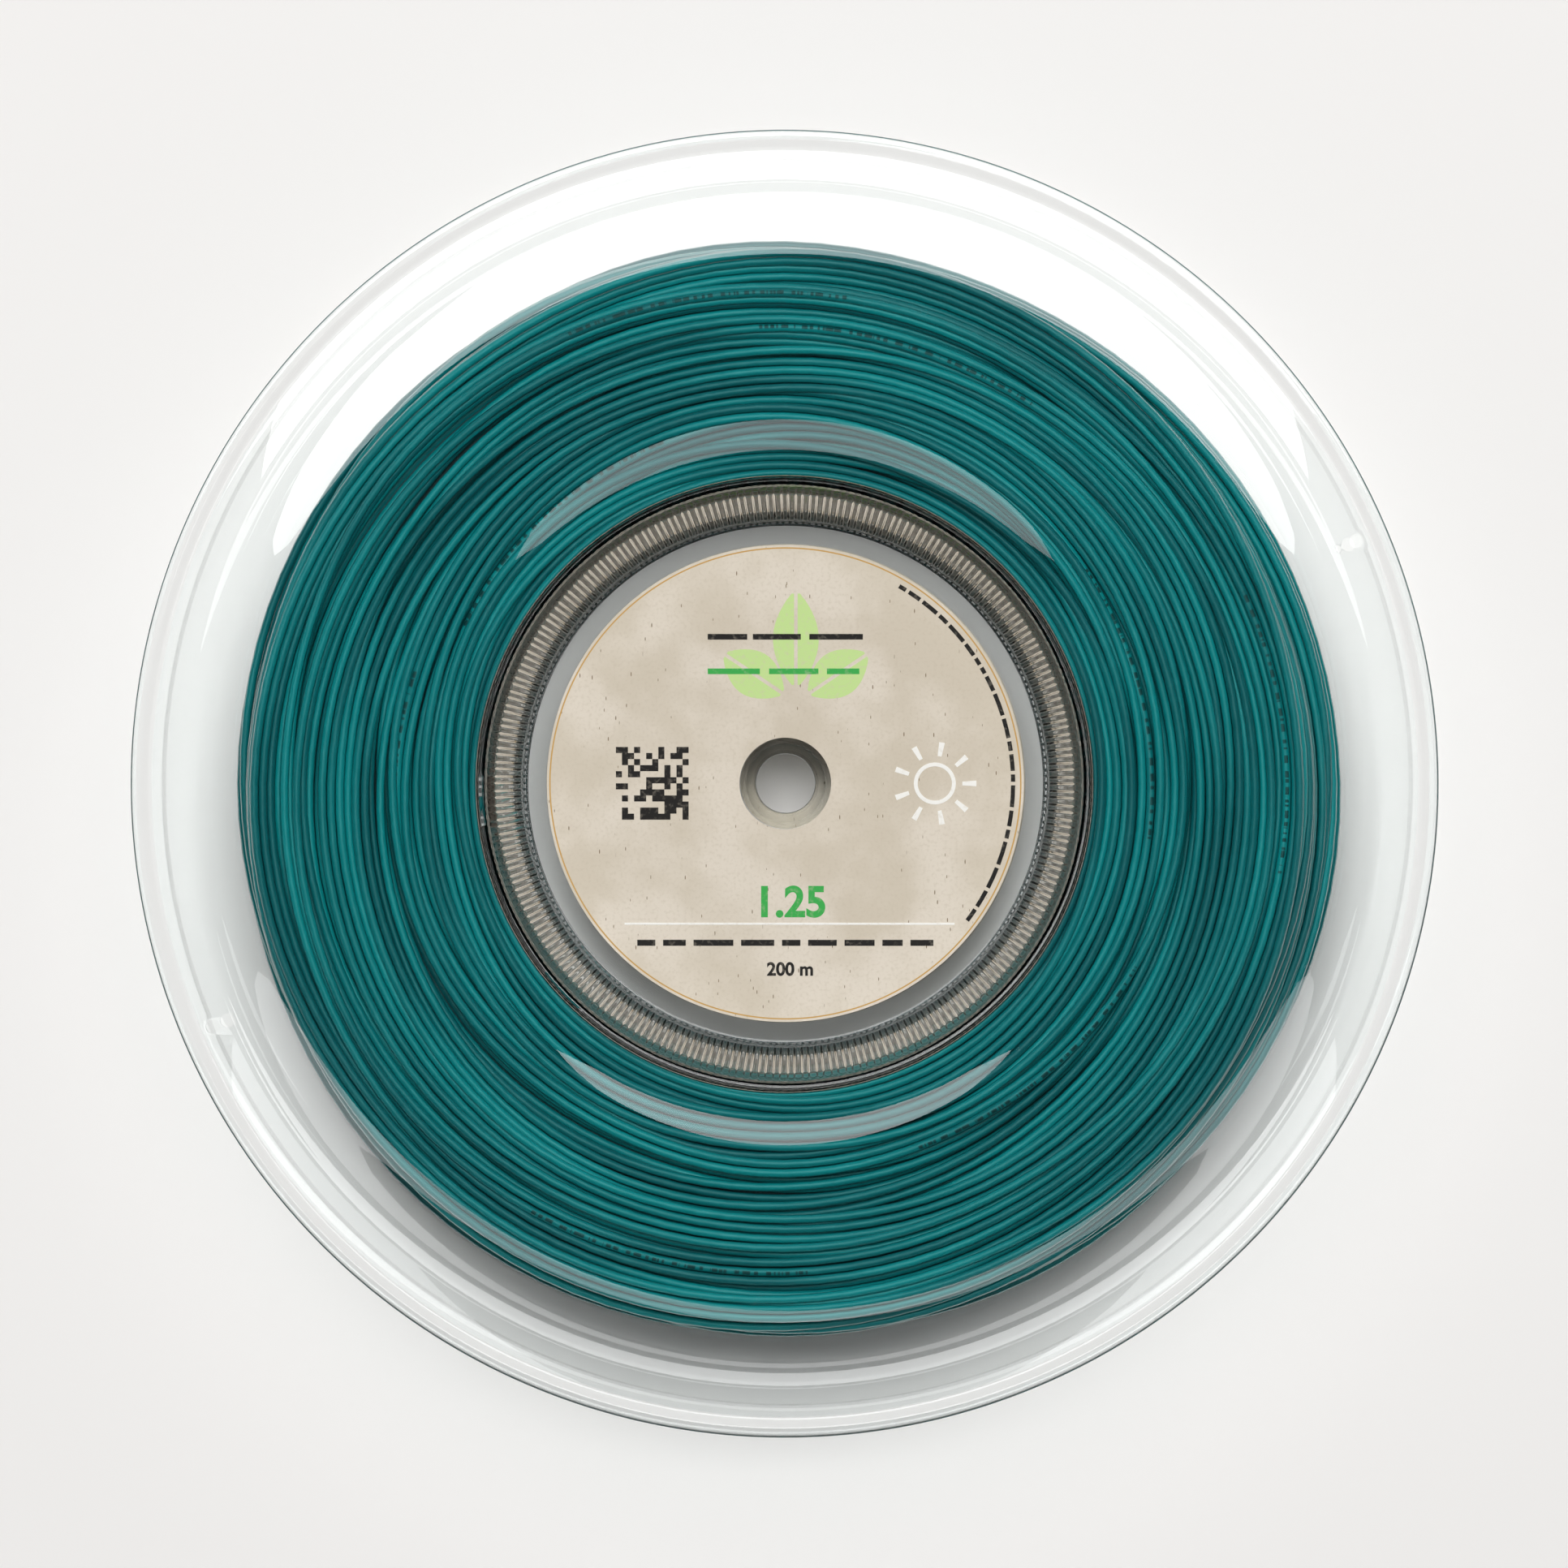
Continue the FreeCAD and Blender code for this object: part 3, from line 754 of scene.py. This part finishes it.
def mixed(tree, share, first, second):
    """Mix of two colours, each a hex value or a socket."""
    node = add_node(tree, "ShaderNodeMix", {"data_type": "RGBA"}, _0=share)
    for index, colour in ((6, first), (7, second)):
        if isinstance(colour, str):
            node.inputs[index].default_value = linear(colour)
        else:
            tree.links.new(colour, node.inputs[index])
    return node.outputs[2]


def clear_polystyrene():
    """Crystal polystyrene, injection moulded in a polished tool: water clear, glossy, IOR 1.59.

    Faint flow waves bend the reflections, and handling has left hairline scuffs that catch light.
    """
    material, tree, out = new_material("crystal_polystyrene_moulded")
    flow = add_node(tree, "ShaderNodeTexNoise", Vector=object_coords(tree, 14), Scale=1.0, Detail=1.0)
    bend = add_node(tree, "ShaderNodeBump", Height=flow.outputs[0], Distance=0.012 * MM, Strength=0.6)
    scuff = add_node(tree, "ShaderNodeTexNoise", Vector=object_coords(tree, 9), Scale=1.0, Detail=4.0,
                     Distortion=2.5)
    gloss = above(tree, scuff.outputs[0], 0.60, 0.68, 0.0, 0.05)
    glass = add_node(tree, "ShaderNodeBsdfPrincipled", Base_Color=linear("#FCFDFD"), Roughness=gloss,
                     IOR=1.59, Transmission_Weight=1.0, Normal=bend.outputs[0])
    lamps = add_node(tree, "ShaderNodeBsdfTransparent", Color=linear("#F9FAFA"))
    path = add_node(tree, "ShaderNodeLightPath")
    mix = add_node(tree, "ShaderNodeMixShader", _0=path.outputs["Is Shadow Ray"], _1=glass.outputs[0],
                   _2=lamps.outputs[0])
    tree.links.new(mix.outputs[0], out.inputs["Surface"])
    return material


def teal_string():
    """Polyester monofilament, extruded and drawn: deep teal, semi-gloss, with a dashed print on one side.

    The print is a row of short black marks 0.6 mm wide, in runs of 40 mm every 900 mm, on a side
    that turns slowly along the string, so that only some runs face out.
    """
    material, tree, out = new_material("polyester_monofilament_extruded")
    uv = add_node(tree, "ShaderNodeUVMap", {"uv_map": "along_string"})
    parts = add_node(tree, "ShaderNodeSeparateXYZ", Vector=uv.outputs[0])
    along, around = parts.outputs[0], parts.outputs[1]

    def sums(operation, first, second=0.0):
        return add_node(tree, "ShaderNodeMath", {"operation": operation}, _0=first, _1=second).outputs[0]

    tint = add_node(tree, "ShaderNodeTexNoise", {"noise_dimensions": "1D"}, W=sums("MULTIPLY", along, 11.0),
                    Scale=1.0, Detail=2.0)
    colour = mixed(tree, above(tree, tint.outputs[0], 0.35, 0.65), "#005357", "#007A7C")
    side = sums("FRACT", sums("ADD", around, sums("MULTIPLY", along, 0.37)))
    on_side = sums("COMPARE", side, 0.5)
    on_side.node.inputs[2].default_value = 0.075
    run = sums("LESS_THAN", sums("FRACT", sums("DIVIDE", along, 0.900)), 0.045)
    uneven = add_node(tree, "ShaderNodeTexNoise", {"noise_dimensions": "1D"},
                      W=sums("MULTIPLY", along, 900.0), Scale=1.0, Detail=1.0)
    dash = sums("GREATER_THAN", uneven.outputs[0], 0.5)
    marks = sums("MULTIPLY", sums("MULTIPLY", run, dash), on_side)
    colour = mixed(tree, sums("MULTIPLY", marks, 0.85), colour, "#0A1B1C")
    drawn = add_node(tree, "ShaderNodeTexNoise", Vector=object_coords(tree, 2.5), Scale=1.0, Detail=2.0)
    gloss = above(tree, drawn.outputs[0], 0.35, 0.65, 0.28, 0.36)
    shader = add_node(tree, "ShaderNodeBsdfPrincipled", Base_Color=colour, Roughness=gloss, IOR=1.57,
                      Specular_IOR_Level=1.0, Specular_Tint=linear("#7FE0DA"),
                      Coat_Weight=1.0, Coat_Roughness=0.22, Coat_IOR=1.57)
    tree.links.new(shader.outputs[0], out.inputs["Surface"])
    return material


def buried_string_painted_shade():
    """The same string deep in the winding, coloured with painted shade: near-black teal for the dark
    between and under the turns, where hardly any light arrives.
    """
    material, tree, out = new_material("polyester_monofilament_painted_shade")
    noise = add_node(tree, "ShaderNodeTexNoise", Vector=object_coords(tree, 6), Scale=1.0)
    # painted shade: these two near-black teals stand in for shade in the winding, not for the string's own
    # colour
    colour = mixed(tree, noise.outputs[0], "#00292B", "#003E41")
    shader = add_node(tree, "ShaderNodeBsdfPrincipled", Base_Color=colour, Roughness=0.35, IOR=1.57)
    tree.links.new(shader.outputs[0], out.inputs["Surface"])
    return material


def recycled_paper():
    """Uncoated recycled board: warm grey-beige, cloudy, with brown fibres and specks and a matt face.

    Clouds are about 12 mm across, fibres 0.3 by 2 mm, specks 0.4 mm, and a thin ochre line is
    printed just inside the edge.
    """
    material, tree, out = new_material("recycled_paper_uncoated")
    cloud = add_node(tree, "ShaderNodeTexNoise", Vector=object_coords(tree, 12), Scale=1.0, Detail=3.0)
    grain = add_node(tree, "ShaderNodeTexNoise", Vector=object_coords(tree, 0.5), Scale=1.0, Detail=2.0)
    colour = mixed(tree, above(tree, cloud.outputs[0], 0.35, 0.65), "#CFC4B2", "#DED4C5")
    colour = mixed(tree, above(tree, grain.outputs[0], 0.45, 0.75, 0.0, 0.35), colour, "#C4B8A4")
    fibres = ((0.6, 2.2, 0.5, 0.17, "#7D6A51"), (2.2, 1.8, 0.45, 0.16, "#8C7B63"))
    for turn, length, width, limit, shade in fibres:
        coords = add_node(tree, "ShaderNodeTexCoord")
        mapping = add_node(tree, "ShaderNodeMapping", Vector=coords.outputs["Object"],
                           Rotation=(0, 0, turn),
                           Scale=(1 / (width * MM), 1 / (length * MM), 1 / (width * MM)))
        cells = add_node(tree, "ShaderNodeTexVoronoi", {"feature": "F1"}, Vector=mapping.outputs[0],
                         Scale=1.0)
        fibre = above(tree, cells.outputs["Distance"], limit, limit * 0.7)
        chosen = add_node(tree, "ShaderNodeSeparateColor", Color=cells.outputs["Color"])
        some = above(tree, chosen.outputs[0], 0.90, 0.93)
        share = add_node(tree, "ShaderNodeMath", {"operation": "MULTIPLY"}, _0=fibre, _1=some)
        colour = mixed(tree, share.outputs[0], colour, shade)
    coords = add_node(tree, "ShaderNodeTexCoord")
    flat = add_node(tree, "ShaderNodeVectorMath", {"operation": "MULTIPLY"}, _0=coords.outputs["Object"],
                    _1=(1.0, 1.0, 0.0))
    radius = add_node(tree, "ShaderNodeVectorMath", {"operation": "LENGTH"}, _0=flat.outputs[0])
    line = add_node(tree, "ShaderNodeMath", {"operation": "COMPARE"}, _0=radius.outputs["Value"],
                    _1=LABEL_RADIUS - 0.45 * MM)
    line.inputs[2].default_value = 0.1 * MM
    colour = mixed(tree, line.outputs[0], colour, "#C39B5A")
    bump = add_node(tree, "ShaderNodeBump", Height=grain.outputs[0], Distance=0.04 * MM, Strength=0.5)
    shader = add_node(tree, "ShaderNodeBsdfPrincipled", Base_Color=colour, Roughness=0.88,
                      Normal=bump.outputs[0])
    tree.links.new(shader.outputs[0], out.inputs["Surface"])
    return material


def printing_ink(name, hex_colour, worn):
    """Water-based ink on rough paper: matt, a little patchy where the grain took less of it."""
    material, tree, out = new_material(f"flexographic_ink_{name}")
    grain = add_node(tree, "ShaderNodeTexNoise", Vector=object_coords(tree, 0.7), Scale=1.0, Detail=2.0)
    colour = mixed(tree, above(tree, grain.outputs[0], 0.5, 0.75, 0.0, worn), hex_colour, "#CFC4B2")
    shader = add_node(tree, "ShaderNodeBsdfPrincipled", Base_Color=colour, Roughness=0.75)
    tree.links.new(shader.outputs[0], out.inputs["Surface"])
    return material


# ---- Build -------------------------------------------------------------------------------------
clear = clear_polystyrene()
string = teal_string()
paper = recycled_paper()
inks = {
    "pale_green": printing_ink("pale_green", "#C3DE93", 0.35),
    "green": printing_ink("green", "#3DA94F", 0.25),
    "black": printing_ink("black", "#1E1C1A", 0.15),
    "white": printing_ink("white", "#F4F2EC", 0.3),
}
moulded_half("front_moulding", "front_half", clear, front_place)
moulded_half("rear_moulding", "rear_half", clear, rear_place)
wound_radius, wound_height = wound_path()
string_pieces(wound_radius, wound_height, string)
buried_turns(wound_radius, buried_string_painted_shade())
inner_tail(string)
label_print("front", front_place, inks)
label_print("rear", rear_place, inks)
for node in ("front_label", "rear_label"):
    frame["nodes"][node].data.materials.clear()
    frame["nodes"][node].data.materials.append(paper)


# ---- Stage -------------------------------------------------------------------------------------
def stage_floor():
    """Plain pale floor that the reel lies on."""
    size = 3.0
    verts = [(-size, -size, 0), (size, -size, 0), (size, size, 0), (-size, size, 0)]
    mesh = bpy.data.meshes.new("floor")
    mesh.from_pydata(verts, [], [(0, 1, 2, 3)])
    material, tree, out = new_material("floor_paper_sweep")
    shader = add_node(tree, "ShaderNodeBsdfPrincipled", Base_Color=linear("#F4F2F0"), Roughness=0.9,
                      Specular_IOR_Level=0.0)
    tree.links.new(shader.outputs[0], out.inputs["Surface"])
    mesh.materials.append(material)
    floor = bpy.data.objects.new("floor", mesh)
    bpy.context.scene.collection.objects.link(floor)
    floor.location.z = REEL_LOW[2] - 0.0002


def softbox(name, position, size, power, reflected, target=(0, 0, 0)):
    """Rectangular lamp at a position, facing the target.

    A reflected lamp is only mirrored in glossy things; the others light only matt things.
    """
    lamp = bpy.data.lights.new(name, "AREA")
    lamp.shape = "RECTANGLE"
    lamp.size, lamp.size_y = size
    lamp.energy = power
    holder = bpy.data.objects.new(name, lamp)
    holder.location = position
    holder.rotation_euler = (Vector(target) - Vector(position)).to_track_quat("-Z", "Y").to_euler()
    holder.visible_transmission = False    # clear mouldings pass its light on as shadow rays
    holder.visible_glossy = reflected
    holder.visible_diffuse = not reflected
    bpy.context.scene.collection.objects.link(holder)


def stage_light():
    """Dim surroundings, a large softbox towards +Y and a long narrow one towards -Y."""
    world = bpy.data.worlds.new("surroundings")
    bpy.context.scene.world = world
    world.use_nodes = True
    background = world.node_tree.nodes["Background"]
    background.inputs["Color"].default_value = linear("#FFFFFF")
    background.inputs["Strength"].default_value = 0.012
    softbox("softbox_top", (0.0, 1.04, 2.7), (1.8, 1.52), 84, False)
    softbox("softbox_bottom", (0.0, -0.40, 2.7), (2.4, 0.24), 7.8, False)
    softbox("mirrored_top", (0.0, 1.04, 2.71), (1.8, 1.52), 36, True)
    softbox("mirrored_bottom", (0.0, -0.40, 2.71), (2.4, 0.24), 4.5, True)


def camera():
    """Long lens straight above the front face, with the label upright."""
    data = bpy.data.cameras.new("camera")
    data.sensor_width = 36
    data.lens = CAMERA_LENS
    holder = bpy.data.objects.new("camera", data)
    aim = Vector((0, 0, REEL_HIGH[2]))
    back = Vector((CAMERA_OFF_AXIS[0], CAMERA_OFF_AXIS[1], CAMERA_DISTANCE))
    right = Vector((0, 1, 0)).cross(back).normalized()
    up = back.cross(right).normalized()
    holder.rotation_euler = Matrix((right, up, back.normalized())).transposed().to_euler()
    holder.location = aim + back
    bpy.context.scene.collection.objects.link(holder)
    bpy.context.scene.camera = holder


stage_floor()
stage_light()
camera()
bpy.context.scene.view_settings.view_transform = "Standard"
